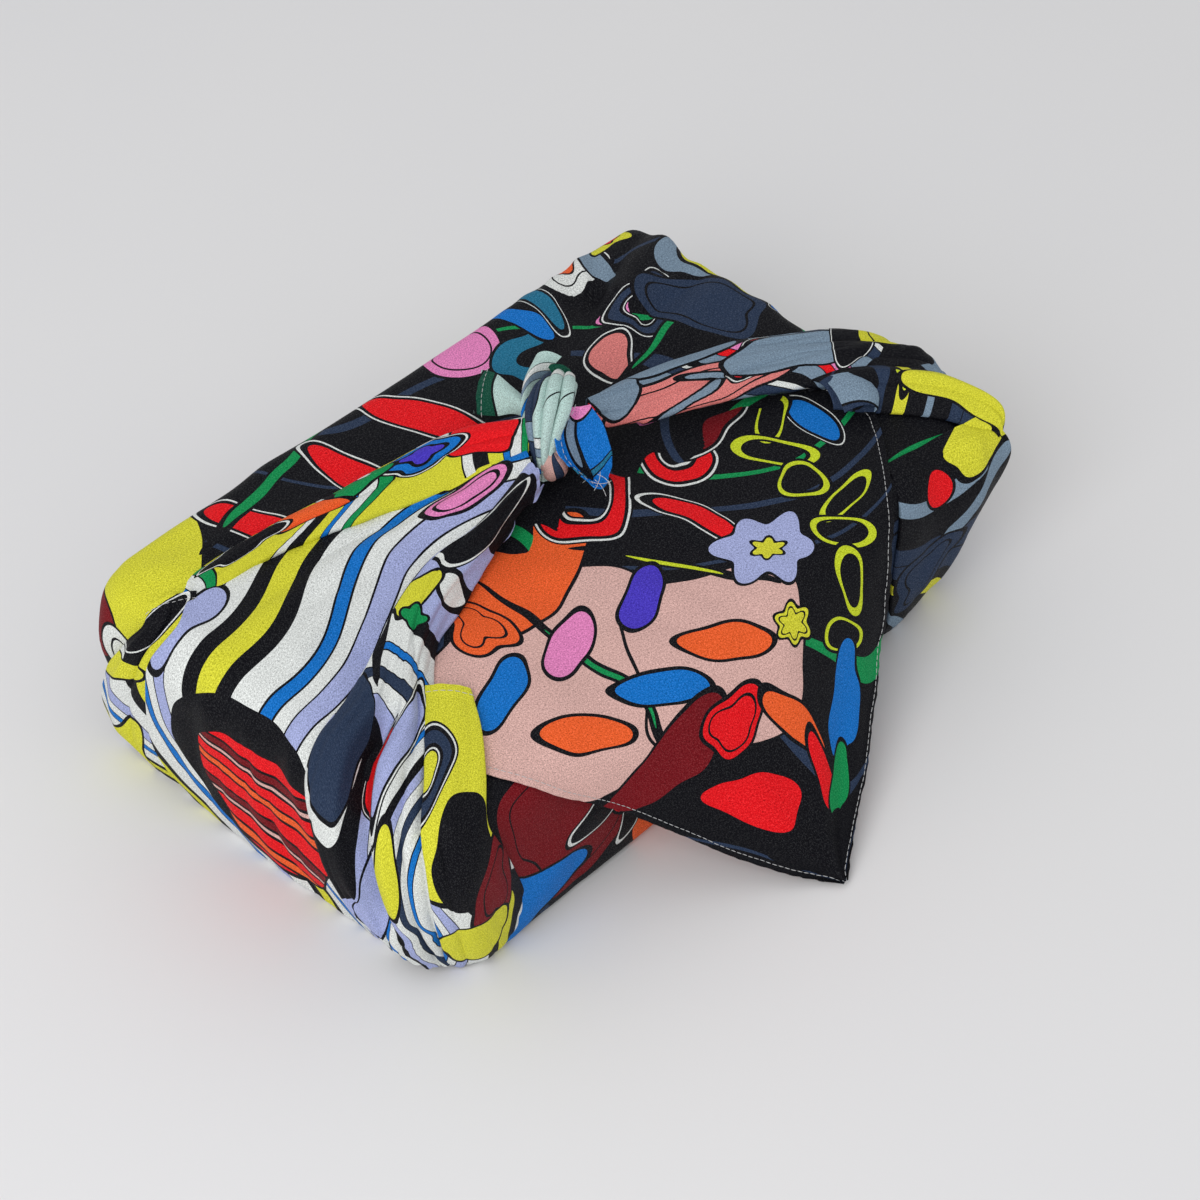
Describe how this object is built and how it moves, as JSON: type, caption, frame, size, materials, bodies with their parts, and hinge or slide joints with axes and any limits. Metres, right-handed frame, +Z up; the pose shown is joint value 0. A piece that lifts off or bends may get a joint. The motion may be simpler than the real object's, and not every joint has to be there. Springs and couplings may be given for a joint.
{
  "type": "furoshiki wrap",
  "caption": "Square printed furoshiki cloth folded round a flat oblong parcel and tied on top in one knot, with a free corner hanging over the front as a flap.",
  "frame": {"origin": "centre of the wrapped parcel's flat underside, on the surface it stands on", "axes": "+X along the parcel's long side, +Y towards the back, +Z up; the flap hangs on the -Y side"},
  "size_m": [0.3366, 0.2695, 0.1187],
  "materials": {
    "printed_crepe": "matt printed crepe with a fine grain, hemmed with pale grey thread"
  },
  "bodies": {
    "root": {"furoshiki_cloth": "printed_crepe"}
  },
  "joints": []
}
